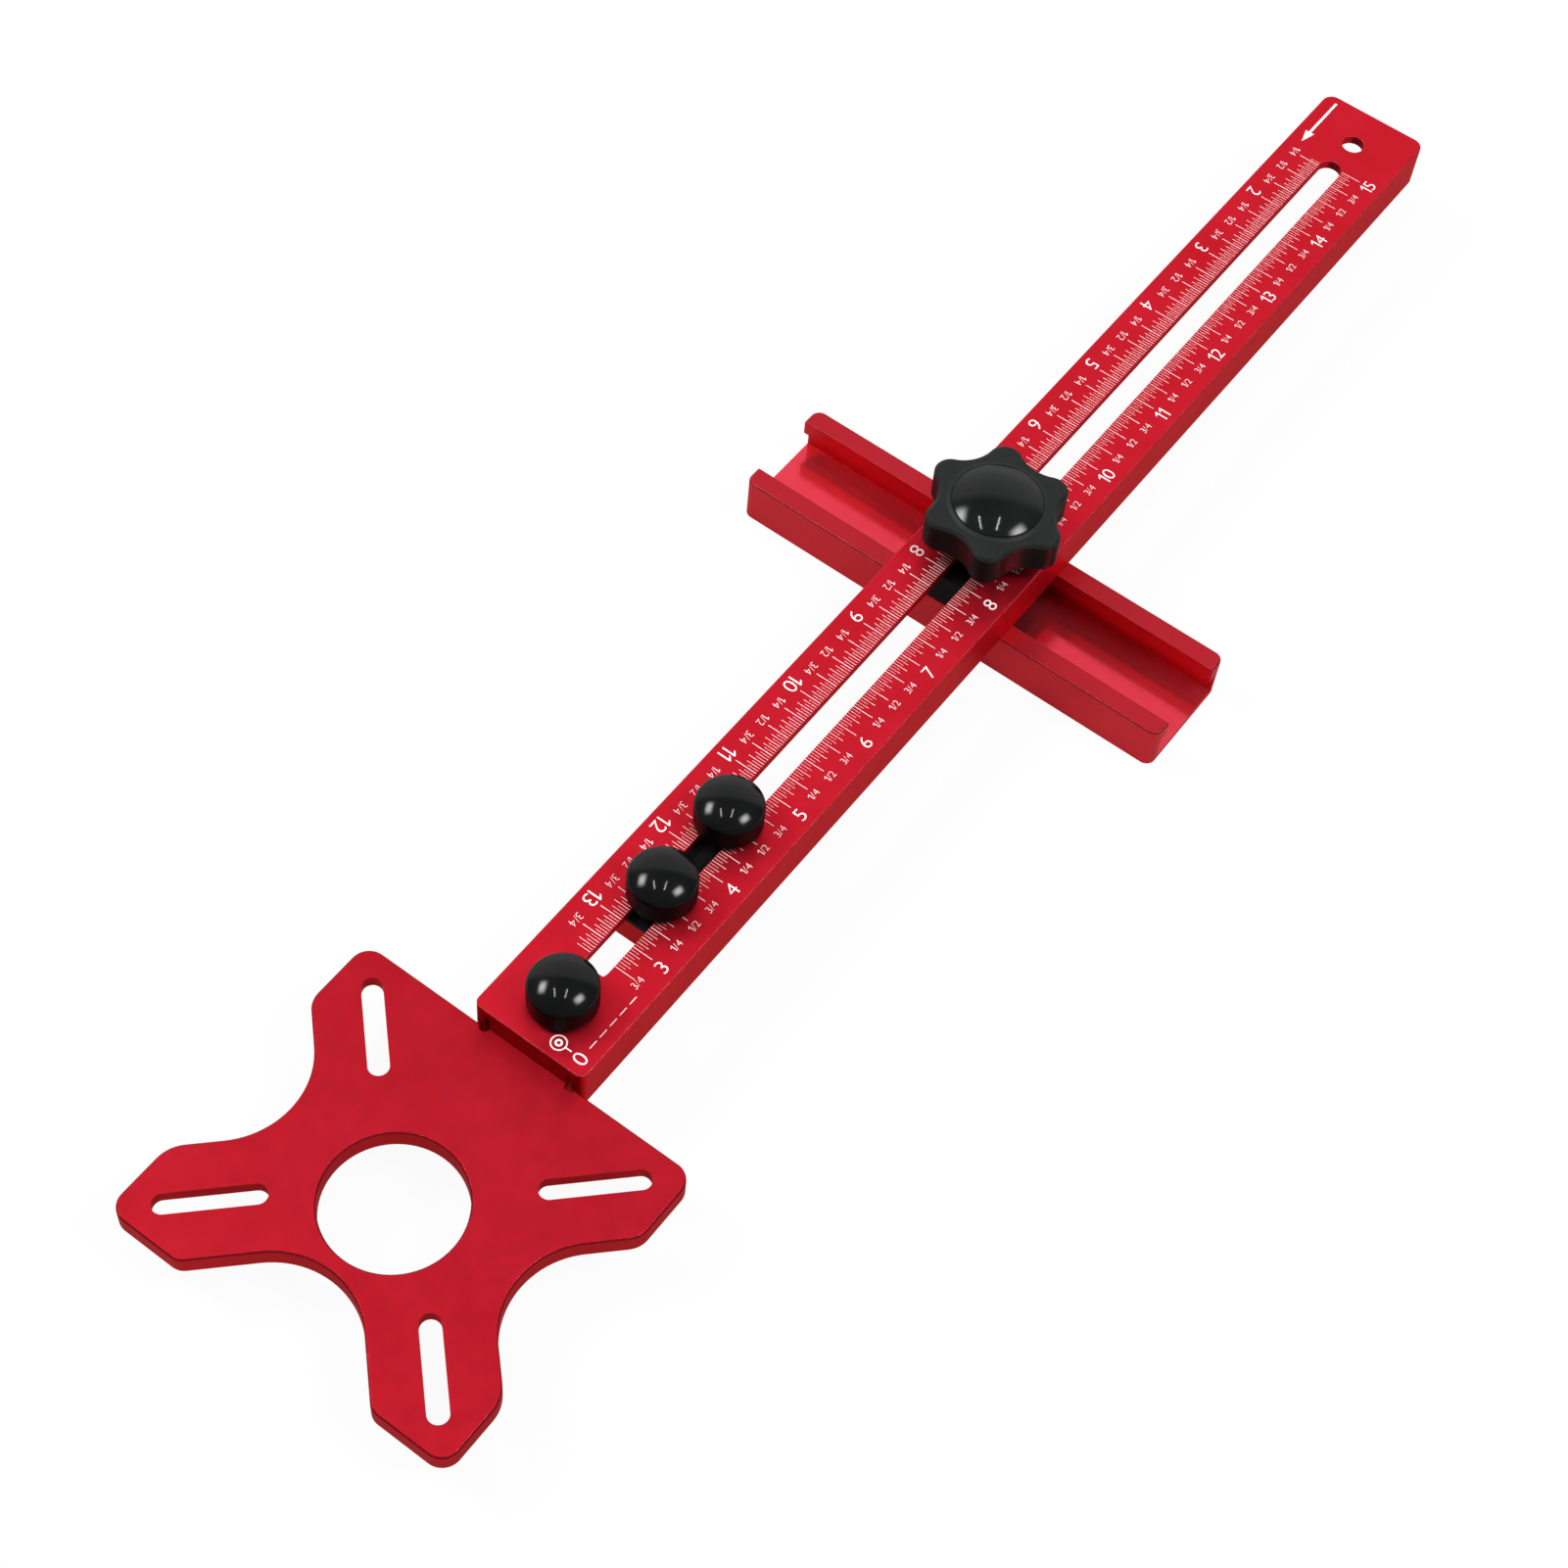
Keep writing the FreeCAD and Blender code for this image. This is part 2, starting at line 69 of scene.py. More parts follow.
# Printing: white ink on top of the beam
INK_HEIGHT = 0.03 * MM
INK_SINK = 0.02 * MM
TICKS_PER_INCH = 32
DIGIT_HEIGHT = 0.7        # of the font's size
STROKE_CUT = 0.012        # of the height, off each side of the font's strokes
NUMBER_WIDEN = 1.08       # how much wider than the font's
LETTER_GAP = 0.13         # of the height of a number
FRACTION_GAP = 0.11       # of the height of a fraction
FRACTION_CUT = 0.022      # as STROKE_CUT, for the fractions
FRACTIONS = {8: "1/4", 16: "1/2", 24: "3/4"}

# Both scales are drawn as they read in the photograph. A mark at so many inches lies at
# zero + inches * inch + inches * inches * widening from the scale's own start.
# Heights are measured outwards from the middle of the beam.
# Ticks are named by how many 1/32 inch they mark.
RIGHT_SCALE = {
    "name": "right_scale",
    "zero": 0.36 * MM,
    "inch": 25.21 * MM,
    "widening": 0.0069 * MM,
    "first": 2.75,
    "last": 15.0,
    "tick_start": 3.16 * MM,
    "tick_ends": {8: 8.45 * MM, 4: 7.0 * MM, 2: 6.2 * MM, 1: 5.5 * MM},
    "tick_widths": {8: 0.16 * MM, 4: 0.12 * MM, 2: 0.09 * MM, 1: 0.065 * MM},
    "label_shift": -0.2 * MM,
    "number_foot": 12.9 * MM,
    "number_height": 3.45 * MM,
    "fraction_foot": 11.3 * MM,
    "fraction_height": 1.85 * MM,
}
FIRST_LABEL_RISE = 0.9 * MM   # the first fraction of the right scale stands higher

# Left scale: it reads from the other end of the beam
LEFT_ZERO = 411.27 * MM
LEFT_SCALE = {
    "name": "left_scale",
    "zero": 0.0,
    "inch": 26.56 * MM,
    "widening": -0.0819 * MM,
    "first": 1.21875,
    "last": 13.4375,
    "tick_start": 3.16 * MM,
    "tick_ends": {8: 8.85 * MM, 4: 7.4 * MM, 2: 6.8 * MM, 1: 5.9 * MM},
    "tick_widths": {8: 0.18 * MM, 4: 0.14 * MM, 2: 0.12 * MM, 1: 0.09 * MM},
    "label_shift": -0.4 * MM,
    "number_foot": 13.3 * MM,
    "number_height": 3.7 * MM,
    "fraction_foot": 11.75 * MM,
    "fraction_height": 2.05 * MM,
}
LEFT_LAST_LABEL = "3/4"        # the real scale repeats 3/4 after 13
LEFT_LAST_SHIFT = 0.5 * MM     # and this label stands nearer to its tick

# The figure one, with a flag and no foot, as shares of its height
ONE_WIDTH = 0.35
ONE_STEM = 0.13
ONE_FLAG_DROP = 0.22
ONE_FLAG_THICK = 0.12

# Start mark: a target, a zero and a row of dashes near the base knob
TARGET_X = 47.6 * MM
TARGET_Y = -5.45 * MM
TARGET_RING = (1.95 * MM, 1.6 * MM)     # outer and inner radius
TARGET_DOT = (0.92 * MM, 0.42 * MM)
LEADER_WIDTH = 0.32 * MM
LEADER_ENDS = (-8.95 * MM, -7.4 * MM)   # the short line from the target to the zero
ZERO_X = 47.4 * MM
ZERO_FOOT = -13.2 * MM
ZERO_HEIGHT = 3.6 * MM
ZERO_WIDEN = 1.12
DASHES = 5
DASH_START = 50.6 * MM
DASH_PITCH = 3.43 * MM
DASH_LENGTH = 2.4 * MM
DASH_WIDTH = 0.24 * MM
DASH_LINE = -11.45 * MM

# Arrow at the far end
ARROW_TAIL = 401.3 * MM
ARROW_TIP = 383.1 * MM
ARROW_HEAD = 4.3 * MM
ARROW_HEAD_WIDTH = 2.6 * MM
ARROW_SHAFT_WIDTH = 0.72 * MM
ARROW_LINE = 11.3 * MM

# Finishes
AXIS_X, AXIS_Y, AXIS_Z = 0, 1, 2
SATIN_COAT = 0.3                                    # of the star knob's level faces
THREAD_PITCHES = {"stud": 0.8 * MM, "bolt": 1.0 * MM}
BOLT_HEAD = 4.0 * MM

# Camera, solved from the edges of the object in the photograph
CAMERA_PLACE = Vector((-194.72, -197.73, 581.25)) * MM
CAMERA_VIEW = Vector((0.47592, 0.28401, -0.83237))
CAMERA_UP = Vector((0.64854, 0.52592, 0.55027))
CAMERA_LENS = 69.59
CAMERA_SENSOR = 36.0
AWAY = Vector((CAMERA_VIEW.x, CAMERA_VIEW.y, 0)).normalized()   # level, away from the camera

# Studio: the lamps stand far off, so they light the whole object alike
LAMP_TARGET = Vector((0.085, 0.0, 0.02))
LAMP_DISTANCE = 3.0
BOX_LIGHT = 25.0              # radiance of the soft boxes
BOX_SOFT = 0.9                # share of their halves over which they fade out
STRIP_SIZE = (0.015, 0.32)    # as angles, in radians
STRIP_LIGHT = 64.0
ROOM_BRIGHT = 0.9
ROOM_DARK = 0.22
FLOOR_REACH = 20.0            # metres, to each side
FLOOR_GLOW_SEEN = 0.94        # share of plain white in the floor as the camera sees it
FLOOR_GLOW_MIRRORED = 0.3     # and as the object's gloss shows it


class Ink:
    """A thin layer of printing on the beam, drawn in the reading frame of one scale."""

    def __init__(self, name, place):
        self.name = name
        self.place = place
        self.mesh = bmesh.new()

    def plate(self, outline):
        """Flat raised shape from (x, y) corners in counter-clockwise order."""
        low = [self.mesh.verts.new((x, y, BEAM_TOP - INK_SINK)) for x, y in outline]
        high = [self.mesh.verts.new((x, y, BEAM_TOP + INK_HEIGHT)) for x, y in outline]
        self.mesh.faces.new(high)
        for i in range(len(outline)):
            j = (i + 1) % len(outline)
            self.mesh.faces.new((low[i], low[j], high[j], high[i]))

    def bar(self, x0, x1, y0, y1):
        self.plate([(x0, y0), (x1, y0), (x1, y1), (x0, y1)])

    def ring(self, x, y, outer, inner, steps=48):
        """Raised ring about (x, y)."""
        turns = [2 * math.pi * i / steps for i in range(steps)]
        loops = []
        for radius, z in (
            (outer, BEAM_TOP - INK_SINK),
            (outer, BEAM_TOP + INK_HEIGHT),
            (inner, BEAM_TOP + INK_HEIGHT),
            (inner, BEAM_TOP - INK_SINK),
        ):
            spots = [(x + radius * math.cos(a), y + radius * math.sin(a), z) for a in turns]
            loops.append([self.mesh.verts.new(spot) for spot in spots])
        for first, second in zip(loops, loops[1:]):
            for i in range(steps):
                j = (i + 1) % steps
                self.mesh.faces.new((first[i], first[j], second[j], second[i]))

    def one(self, x, foot, height, cut):
        """The figure one with its left edge at x. Returns its width."""
        stem_width, thick = ONE_STEM - cut, ONE_FLAG_THICK - cut
        stem = ONE_WIDTH - stem_width
        neck = 1 - ONE_FLAG_DROP * stem_width / ONE_WIDTH
        corners = [
            (stem, 0),
            (ONE_WIDTH, 0),
            (ONE_WIDTH, 1),
            (ONE_WIDTH - stem_width * 0.8, 1),
            (0, 1 - ONE_FLAG_DROP),
            (0, 1 - ONE_FLAG_DROP - thick),
            (stem, neck - thick),
        ]
        self.plate([(x + u * height, foot + v * height) for u, v in corners])
        return ONE_WIDTH * height

    def letter(self, sign, x, foot, height, widen, cut):
        """One sign of the built-in font with its left edge at x. Returns its width."""
        curve = bpy.data.curves.new("print", "FONT")
        curve.body = sign
        curve.size = height / DIGIT_HEIGHT
        curve.offset = -cut * height
        curve.resolution_u = 3
        curve.extrude = (INK_HEIGHT + INK_SINK) / 2
        holder = bpy.data.objects.new("print", curve)
        bpy.context.scene.collection.objects.link(holder)
        bpy.context.view_layer.update()
        shape = bpy.data.meshes.new_from_object(holder)
        xs = [v.co.x for v in shape.vertices]
        to_place = (
            Matrix.Translation((x, foot, BEAM_TOP + (INK_HEIGHT - INK_SINK) / 2))
            @ Matrix.Diagonal((widen, 1, 1, 1))
            @ Matrix.Translation((-min(xs), 0, 0))
        )
        shape.transform(to_place)
        self.mesh.from_mesh(shape)
        bpy.data.meshes.remove(shape)
        bpy.data.objects.remove(holder)
        bpy.data.curves.remove(curve)
        return (max(xs) - min(xs)) * widen

    def text(self, words, x, foot, height, widen=1.0, gap=LETTER_GAP, cut=STROKE_CUT):
        """Words centred on x, with their feet on the line y = foot."""
        first = len(self.mesh.verts)
        edge = 0.0
        for sign in words:
            if sign == "1":
                width = self.one(edge, foot, height, cut)
            else:
                width = self.letter(sign, edge, foot, height, widen, cut)
            edge += width + gap * height
        middle = (edge - gap * height) / 2
        self.mesh.verts.ensure_lookup_table()
        for vert in self.mesh.verts[first:]:
            vert.co.x += x - middle

    def finish(self):
        """The printing as one piece on the beam."""
        data = bpy.data.meshes.new(self.name)
        self.mesh.to_mesh(data)
        self.mesh.free()
        data.transform(self.place)
        piece = bpy.data.objects.new(self.name, data)
        bpy.context.scene.collection.objects.link(piece)
        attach(piece, "beam_body")
        return piece


def mark_place(style, step):
    """Distance of a mark from the scale's start, in its reading direction."""
    inches = step / TICKS_PER_INCH
    return style["zero"] + inches * style["inch"] + inches**2 * style["widening"]


def scale_steps(style):
    """Every 1/32 inch from the first mark to the last."""
    return range(round(style["first"] * TICKS_PER_INCH), round(style["last"] * TICKS_PER_INCH) + 1)


def scale_ticks(style, place):
    """One tick every 1/32 inch, longer at the rounder fractions."""
    ink = Ink(style["name"] + "_ticks", place)
    for step in scale_steps(style):
        size = max(part for part in style["tick_ends"] if step % part == 0)
        x = mark_place(style, step)
        half = style["tick_widths"][size] / 2
        ink.bar(x - half, x + half, -style["tick_ends"][size], -style["tick_start"])
    return ink.finish()


def scale_numbers(style, place, first_rise=0.0, last_label=None, last_shift=0.0):
    """Inch numbers and quarter fractions below the ticks."""
    ink = Ink(style["name"] + "_numbers", place)
    steps = scale_steps(style)
    fractions = [step for step in steps if step % TICKS_PER_INCH in FRACTIONS]
    for step in steps:
        x = mark_place(style, step) + style["label_shift"]
        whole, part = divmod(step, TICKS_PER_INCH)
        if part == 0:
            ink.text(str(whole), x, -style["number_foot"], style["number_height"], NUMBER_WIDEN)
        elif part in FRACTIONS:
            words, rise = FRACTIONS[part], 0.0
            if step == fractions[0]:
                rise = first_rise
            if last_label and step == fractions[-1]:
                words, x = last_label, x + last_shift
            foot = rise - style["fraction_foot"]
            ink.text(words, x, foot, style["fraction_height"], 1.0, FRACTION_GAP, FRACTION_CUT)
    return ink.finish()


def start_mark():
    """Target, zero and dashes at the near end of the beam."""
    ink = Ink("start_mark", Matrix.Identity(4))
    ink.ring(TARGET_X, TARGET_Y, *TARGET_RING)
    ink.ring(TARGET_X, TARGET_Y, *TARGET_DOT)
    ink.bar(TARGET_X - LEADER_WIDTH / 2, TARGET_X + LEADER_WIDTH / 2, *LEADER_ENDS)
    ink.text("0", ZERO_X, ZERO_FOOT, ZERO_HEIGHT, ZERO_WIDEN)
    for i in range(DASHES):
        start = DASH_START + i * DASH_PITCH
        ink.bar(start, start + DASH_LENGTH, DASH_LINE - DASH_WIDTH / 2, DASH_LINE + DASH_WIDTH / 2)
    return ink.finish()


def end_arrow():
    """Arrow at the far end that points along the left scale."""
    ink = Ink("end_arrow", Matrix.Identity(4))
    neck = ARROW_TIP + ARROW_HEAD
    half_head, half_shaft = ARROW_HEAD_WIDTH / 2, ARROW_SHAFT_WIDTH / 2
    corners = [
        (ARROW_TIP, 0),
        (neck, -half_head),
        (neck, -half_shaft),
        (ARROW_TAIL, -half_shaft),
        (ARROW_TAIL, half_shaft),
        (neck, half_shaft),
        (neck, half_head),
    ]
    ink.plate([(x, ARROW_LINE + y) for x, y in corners])
    return ink.finish()


class Graph:
    """Node tree of a material, a lamp or the world, with short ways to add and join nodes."""

    def __init__(self, name):
        self.material = bpy.data.materials.new(name)
        self.material.use_nodes = True
        self.start(self.material.node_tree, "ShaderNodeOutputMaterial")
        self.coordinates = self.add("ShaderNodeTexCoord").outputs["Object"]

    @classmethod
    def for_tree(cls, tree, output_kind):
        """Graph on a tree that exists already."""
        graph = cls.__new__(cls)
        graph.start(tree, output_kind)
        return graph

    def start(self, tree, output_kind):
        self.tree = tree
        self.tree.nodes.clear()
        self.output = self.tree.nodes.new(output_kind)

    def add(self, kind, inputs=None, **settings):
        """New node. An input is a value, or another node's output to link."""
        node = self.tree.nodes.new(kind)
        for key, value in settings.items():
            setattr(node, key, value)
        for key, value in (inputs or {}).items():
            if isinstance(value, bpy.types.NodeSocket):
                self.tree.links.new(value, node.inputs[key])
            else:
                node.inputs[key].default_value = value
        return node

    def noise(self, scale, detail, stretch=(1, 1, 1)):
        """Noise from 0 to 1, with scale bumps to the metre. Stretch draws it out along an axis."""
        squeeze = tuple(1 / s for s in stretch)
        mapping = self.add("ShaderNodeMapping", {"Vector": self.coordinates, "Scale": squeeze})
        inputs = {"Vector": mapping.outputs[0], "Scale": scale, "Detail": detail}
        return self.add("ShaderNodeTexNoise", inputs).outputs["Fac"]

    def ramp(self, value, low, high, to_low=0.0, to_high=1.0, kind="LINEAR"):
        """The value's way from low to high, laid out from to_low to to_high."""
        inputs = {
            "Value": value,
            "From Min": low,
            "From Max": high,
            "To Min": to_low,
            "To Max": to_high,
        }
        return self.add("ShaderNodeMapRange", inputs, interpolation_type=kind).outputs["Result"]

    def fade(self, value, low, high, to_low=0.0, to_high=1.0):
        """A ramp with soft ends."""
        return self.ramp(value, low, high, to_low, to_high, "SMOOTHSTEP")

    def patches(self, scale, to_low=0.0, to_high=1.0, stretch=(1, 1, 1)):
        """Soft patches: noise with its middle stretched from to_low to to_high."""
        return self.ramp(self.noise(scale, 3, stretch), 0.3, 0.7, to_low, to_high)

    def math(self, operation, a, b=0.0, c=0.0):
        return self.add("ShaderNodeMath", {0: a, 1: b, 2: c}, operation=operation).outputs[0]

    def times(self, *factors):
        """Product of several values."""
        product = factors[0]
        for factor in factors[1:]:
            product = self.math("MULTIPLY", product, factor)
        return product

    def facing(self, axis):
        """How far the surface faces along an axis, from -1 to 1."""
        normal = self.add("ShaderNodeNewGeometry").outputs["True Normal"]
        return self.add("ShaderNodeSeparateXYZ", {0: normal}).outputs[axis]

    def place(self, axis):
        """The surface's own coordinate along an axis."""
        return self.add("ShaderNodeSeparateXYZ", {0: self.coordinates}).outputs[axis]

    def blend(self, factor, a, b):
        """Colour a where the factor is 0 and b where it is 1."""
        node = self.add("ShaderNodeMix", data_type="RGBA")
        for index, value in ((0, factor), (6, a), (7, b)):
            if isinstance(value, bpy.types.NodeSocket):
                self.tree.links.new(value, node.inputs[index])
            else:
                node.inputs[index].default_value = value
        return node.outputs[2]

    def rounded_normal(self, radius):
        """The normal as if each edge were rounded."""
        return self.add("ShaderNodeBevel", {"Radius": radius}, samples=4).outputs[0]

    def edge_mask(self, radius, sharp=0.9):
        """1 on the sharp edges of a solid, 0 on its flat faces."""
        rounded = self.rounded_normal(radius)
        true_normal = self.add("ShaderNodeNewGeometry").outputs["Normal"]
        dot = self.add("ShaderNodeVectorMath", {0: rounded, 1: true_normal}, operation="DOT_PRODUCT")
        return self.ramp(dot.outputs["Value"], 0.999, sharp)

    def bump(self, height, distance, strength=1.0, normal=None):
        inputs = {"Height": height, "Distance": distance, "Strength": strength}
        if normal is not None:
            inputs["Normal"] = normal
        return self.add("ShaderNodeBump", inputs).outputs[0]

    def shader(self, **inputs):
        """Principled shader to the output. Names have _ for spaces."""
        named = {key.replace("_", " "): value for key, value in inputs.items()}
        shader = self.add("ShaderNodeBsdfPrincipled", named)
        self.tree.links.new(shader.outputs[0], self.output.inputs["Surface"])
        return self.material


def colour(red, green, blue, share=1.0):
    return (red * share, green * share, blue * share, 1.0)


def red_anodised(name, depth=1.0, glaze=0.12, edge_wear_and_glint=1.0, shine=0.22, end=1.0, channel=None):
    """Blasted and anodised aluminium: fine grain, faint clouds, paler sharp edges from wear and a painted
    highlight.

    depth is the brightness of the red.
    glaze is the weight of the clear layer on it.
    edge_wear_and_glint is how strongly the edges pale: partly colour lost to wear, partly a painted
    highlight.
    shine is how much smoother the chamfers are than the faces.
    end is the brightness of the painted shade on the upright faces over the plate that look to the beam's
    near end.
    channel is two heights. The drawn floor between them is smoother and has a brighter painted sheen, and
    the faces that look up elsewhere are a little darker with painted shade.
    """
    g = Graph(name)
    clouds = g.patches(60)
    tone = g.blend(clouds, colour(0.64, 0.0085, 0.023, depth), colour(0.70, 0.0125, 0.031, depth))
    rough = g.patches(300, 0.39, 0.46)
    upward = g.facing(AXIS_Z)
    height = g.place(AXIS_Z)
    if end < 1.0:
        # painted shade: upright faces above the plate that look towards the beam's near end get a darker
        # copy of the red
        near = g.fade(g.math("MULTIPLY", g.facing(AXIS_X), -1.0), 0.7, 0.95)
        near = g.times(near, g.math("GREATER_THAN", height, PLATE_TOP + 0.1 * MM))
        tone = g.blend(near, tone, colour(0.67, 0.009, 0.024, end))
    if channel:
        # painted shade on the faces that look up; the drawn floor gets a brighter painted sheen, its
        # streaks are real drawing marks
        level = g.math("GREATER_THAN", upward, 0.5)
        tone = g.blend(g.times(level, 0.5), tone, colour(0.42, 0.006, 0.016))
        above, below = g.math("GREATER_THAN", height, channel[0]), g.math("LESS_THAN", height, channel[1])
        drawn = g.times(level, above, below)
        streaks = g.patches(180, stretch=(1, 30, 1))
        bright = g.blend(streaks, colour(0.84, 0.038, 0.070), colour(0.90, 0.050, 0.086))
        tone = g.blend(drawn, tone, bright)
        rough = g.math("SUBTRACT", rough, g.times(drawn, 0.28))
    chamfer = g.math("COMPARE", upward, 0.7, 0.2)
    rough = g.math("SUBTRACT", rough, g.times(chamfer, shine))
    # the sharp edges are paled towards pink: partly wear, partly a painted edge highlight
    patchy = g.ramp(g.noise(900, 3), 0.35, 0.6, 0.25 * edge_wear_and_glint, 0.9 * edge_wear_and_glint)
    worn_and_glinting_edges = g.times(g.edge_mask(0.10 * MM), patchy)
    base = g.blend(worn_and_glinting_edges, tone, colour(0.90, 0.34, 0.36))
    lines = g.noise(2600, 2, stretch=(40, 1, 1))
    relief = g.math("ADD", g.noise(4200, 2), g.times(lines, 0.35))
    normal = g.bump(relief, 0.010 * MM, 0.4, g.rounded_normal(0.06 * MM))
    return g.shader(
        Base_Color=base,
        Metallic=0.85,
        Roughness=rough,
        Specular_IOR_Level=0.25,
        Specular_Tint=colour(0.75, 0.12, 0.14),
        Coat_Weight=glaze,
        Coat_Roughness=0.45,
        Normal=normal,
        Coat_Normal=normal,
    )


def black_gloss(name, dark, light):
    """Matt black moulding with a polished dome that has a few hair scratches."""
    g = Graph(name)
    hairs = g.ramp(g.noise(1500, 2, stretch=(1, 14, 3)), 0.62, 0.72, 0.46, 0.39)
    polish = g.times(g.fade(g.facing(AXIS_Z), 0.1, 0.75), hairs)
    rounded = g.rounded_normal(0.3 * MM)
    return g.shader(
        Base_Color=g.blend(g.patches(120), dark, light),
        Roughness=g.patches(400, 0.42, 0.5),
        Specular_IOR_Level=0.03,
        Coat_Weight=polish,
        Coat_Roughness=0.07,
        Normal=g.bump(g.noise(3000, 2), 0.006 * MM, 0.5, rounded),
        Coat_Normal=g.bump(g.noise(700, 2), 0.0003 * MM, 0.3, rounded),
    )


def black_satin():
    """Spark-eroded black moulding of the star knob, a little shinier where hands rub it, with painted
    shade on its upright sides.
    """
    g = Graph("black_satin")
    rubbed = g.edge_mask(0.6 * MM, 0.8)
    flat = g.fade(g.facing(AXIS_Z), 0.2, 0.8)
    specks = g.patches(200)
    # painted shade: the upright sides get a darker copy of the black than the level tops
    top = g.blend(specks, colour(0.0075, 0.009, 0.009), colour(0.011, 0.013, 0.013))
    side = g.blend(specks, colour(0.003, 0.003, 0.003), colour(0.005, 0.0052, 0.0052))
    tone = g.blend(flat, side, top)
    base = g.blend(g.times(rubbed, 0.25), tone, colour(0.024, 0.026, 0.026))
    rough = g.math("SUBTRACT", g.patches(500, 0.46, 0.56), g.times(rubbed, 0.1))
    normal = g.bump(g.noise(5200, 2), 0.012 * MM, 0.6, g.rounded_normal(0.4 * MM))
    return g.shader(
        Base_Color=base,
        Roughness=rough,
        Specular_IOR_Level=0.08,
        Coat_Weight=g.times(flat, SATIN_COAT),
        Coat_Roughness=0.5,
        Normal=normal,
        Coat_Normal=normal,
    )


def black_nylon():
    """Matt black nylon with faint flow marks."""
    g = Graph("black_nylon")
    flow = g.patches(150, stretch=(4, 1, 1))
    base = g.blend(flow, colour(0.002, 0.002, 0.0022), colour(0.004, 0.004, 0.0042))
    normal = g.bump(g.noise(3500, 2), 0.01 * MM, 0.5, g.rounded_normal(0.2 * MM))
    rough = g.ramp(flow, 0, 1, 0.6, 0.7)
    return g.shader(Base_Color=base, Roughness=rough, Specular_IOR_Level=0.1, Normal=normal)


def turned_metal(name, dark, light, axis_x, pitch=None, low=0.0, high=0.0):
    """Metal turned on a lathe about the upright axis at axis_x.

    Where it has a pitch, it has a thread between the heights low and high.
    """
    g = Graph(name)
    x, y, z = g.math("SUBTRACT", g.place(AXIS_X), axis_x), g.place(AXIS_Y), g.place(AXIS_Z)
    radius = g.math("POWER", g.math("ADD", g.math("POWER", x, 2.0), g.math("POWER", y, 2.0)), 0.5)
    rings = g.add("ShaderNodeCombineXYZ", {0: radius, 2: z}).outputs[0]
    lathe = g.add("ShaderNodeTexNoise", {"Vector": rings, "Scale": 6000.0, "Detail": 2.0}).outputs["Fac"]
    relief = g.times(lathe, 0.02)
    if pitch:
        turn = g.math("DIVIDE", g.math("ARCTAN2", y, x), 2 * math.pi)
        phase = g.math("SUBTRACT", g.math("DIVIDE", z, pitch), turn)
        ridge = g.times(g.math("PINGPONG", phase, 0.5), 2.0)
        threaded = g.times(g.math("GREATER_THAN", z, low), g.math("LESS_THAN", z, high))
        relief = g.math("ADD", relief, g.times(ridge, threaded))
    normal = g.bump(relief, 0.25 * MM, 1.0, g.rounded_normal(0.1 * MM))
    base = g.blend(g.patches(500), dark, light)
    return g.shader(Base_Color=base, Metallic=1.0, Roughness=g.patches(900, 0.23, 0.35), Normal=normal)


def white_ink():
    """Screen-printed white that lets a little red through."""
    g = Graph("white_ink")
    thin = g.ramp(g.noise(2500, 3), 0.35, 0.75, 0.0, 0.25)
    base = g.blend(thin, colour(0.93, 0.87, 0.87), colour(0.90, 0.68, 0.70))
    normal = g.bump(g.noise(3000, 2), 0.008 * MM, 0.5)
    rough = g.ramp(thin, 0, 0.25, 0.5, 0.62)
    return g.shader(Base_Color=base, Roughness=rough, Specular_IOR_Level=0.3, Normal=normal)


def metal_finish(name, slot):
    """Finish of a turned piece, with a thread on a stud and below the head's height on a bolt."""
    if slot == "brass":
        tones = (colour(0.62, 0.42, 0.16), colour(0.78, 0.57, 0.25))
    else:
        tones = (colour(0.50, 0.51, 0.54), colour(0.66, 0.67, 0.69))
    low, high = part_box(name)
    kind = name.rsplit("_", 1)[-1]
    start = low.z + (BOLT_HEAD if kind == "bolt" else 0.0)
    middle = (low.x + high.x) / 2
    return turned_metal(name + "_finish", *tones, middle, THREAD_PITCHES.get(kind), start, high.z)


def dress_nodes():
    """Give each CAD node its own finish, or the one of its material slot."""
    small_knob = (colour(0.0015, 0.0017, 0.0018), colour(0.003, 0.0033, 0.0035))
    cap = (colour(0.004, 0.0043, 0.0046), colour(0.007, 0.0074, 0.0078))
    shared = {
        "red_anodised": red_anodised("red_anodised"),
        "black_gloss": black_gloss("black_gloss", *small_knob),
        "black_satin": black_satin(),
        "black_nylon": black_nylon(),
    }
    own = {
        # plate and beam get painted shade on faces towards the near end, and pale edges that are partly a
        # painted highlight
        "base_plate": red_anodised("red_plate", depth=0.79, edge_wear_and_glint=0.25, end=0.3),
        "ruler_beam": red_anodised("red_beam", edge_wear_and_glint=1.1, shine=0.0, end=0.27),
        "edge_guide": red_anodised("red_guide", glaze=0.4, shine=0.08, channel=CHANNEL_FLOOR),
        "star_knob_cap": black_gloss("black_cap", *cap),
    }
    for entry in frame["record"]["subparts"]:
        name, slot = entry["node"], entry["material_slot"]
        finish = own.get(name) or shared.get(slot) or metal_finish(name, slot)
        materials = nodes[name].data.materials
        materials.clear()
        materials.append(finish)


